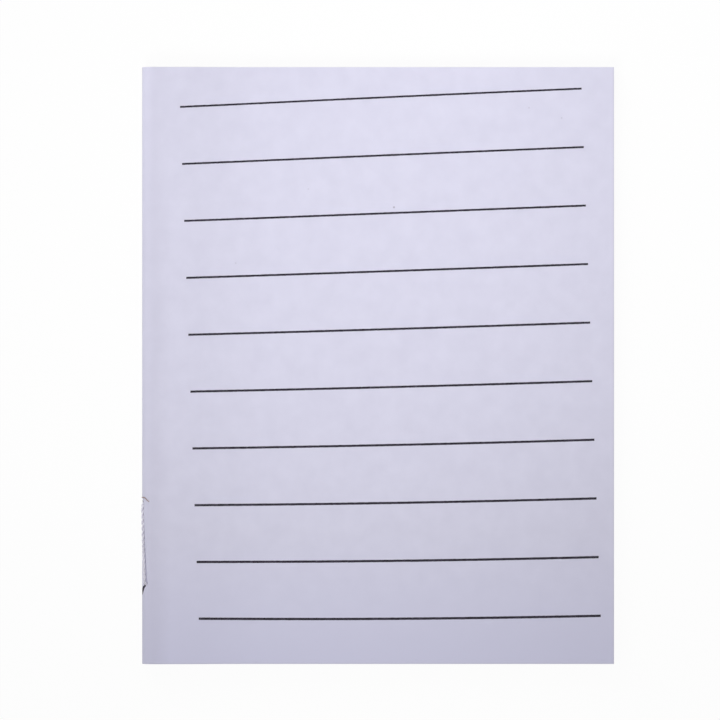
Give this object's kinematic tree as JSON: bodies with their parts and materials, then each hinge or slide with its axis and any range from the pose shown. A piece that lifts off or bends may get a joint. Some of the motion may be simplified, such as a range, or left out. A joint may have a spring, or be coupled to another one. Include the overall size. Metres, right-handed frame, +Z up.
{
  "type": "mini notebook",
  "caption": "Pocket-size ruled notebook of folded sheets sewn through the fold into a card cover, opened at its middle and folded back on itself with one page up.",
  "frame": {"origin": "under the middle of the page, on the surface the notebook lies on", "axes": "+X across the page from the sewn fold to the fore-edge, +Y up the page from its foot to its head, +Z up out of the ruled page"},
  "size_m": [0.0652, 0.0822, 0.0031],
  "materials": {
    "paper": "uncoated, smooth matte white with a cool cast",
    "cover_card": "uncoated brown card",
    "thread": "twisted white sewing thread",
    "ink": "matte black printing ink on paper"
  },
  "bodies": {
    "root": {"pages": "paper", "cover": "cover_card", "sewing_thread": "thread", "right_page_ruling": "ink", "left_page_ruling": "ink"}
  },
  "joints": []
}
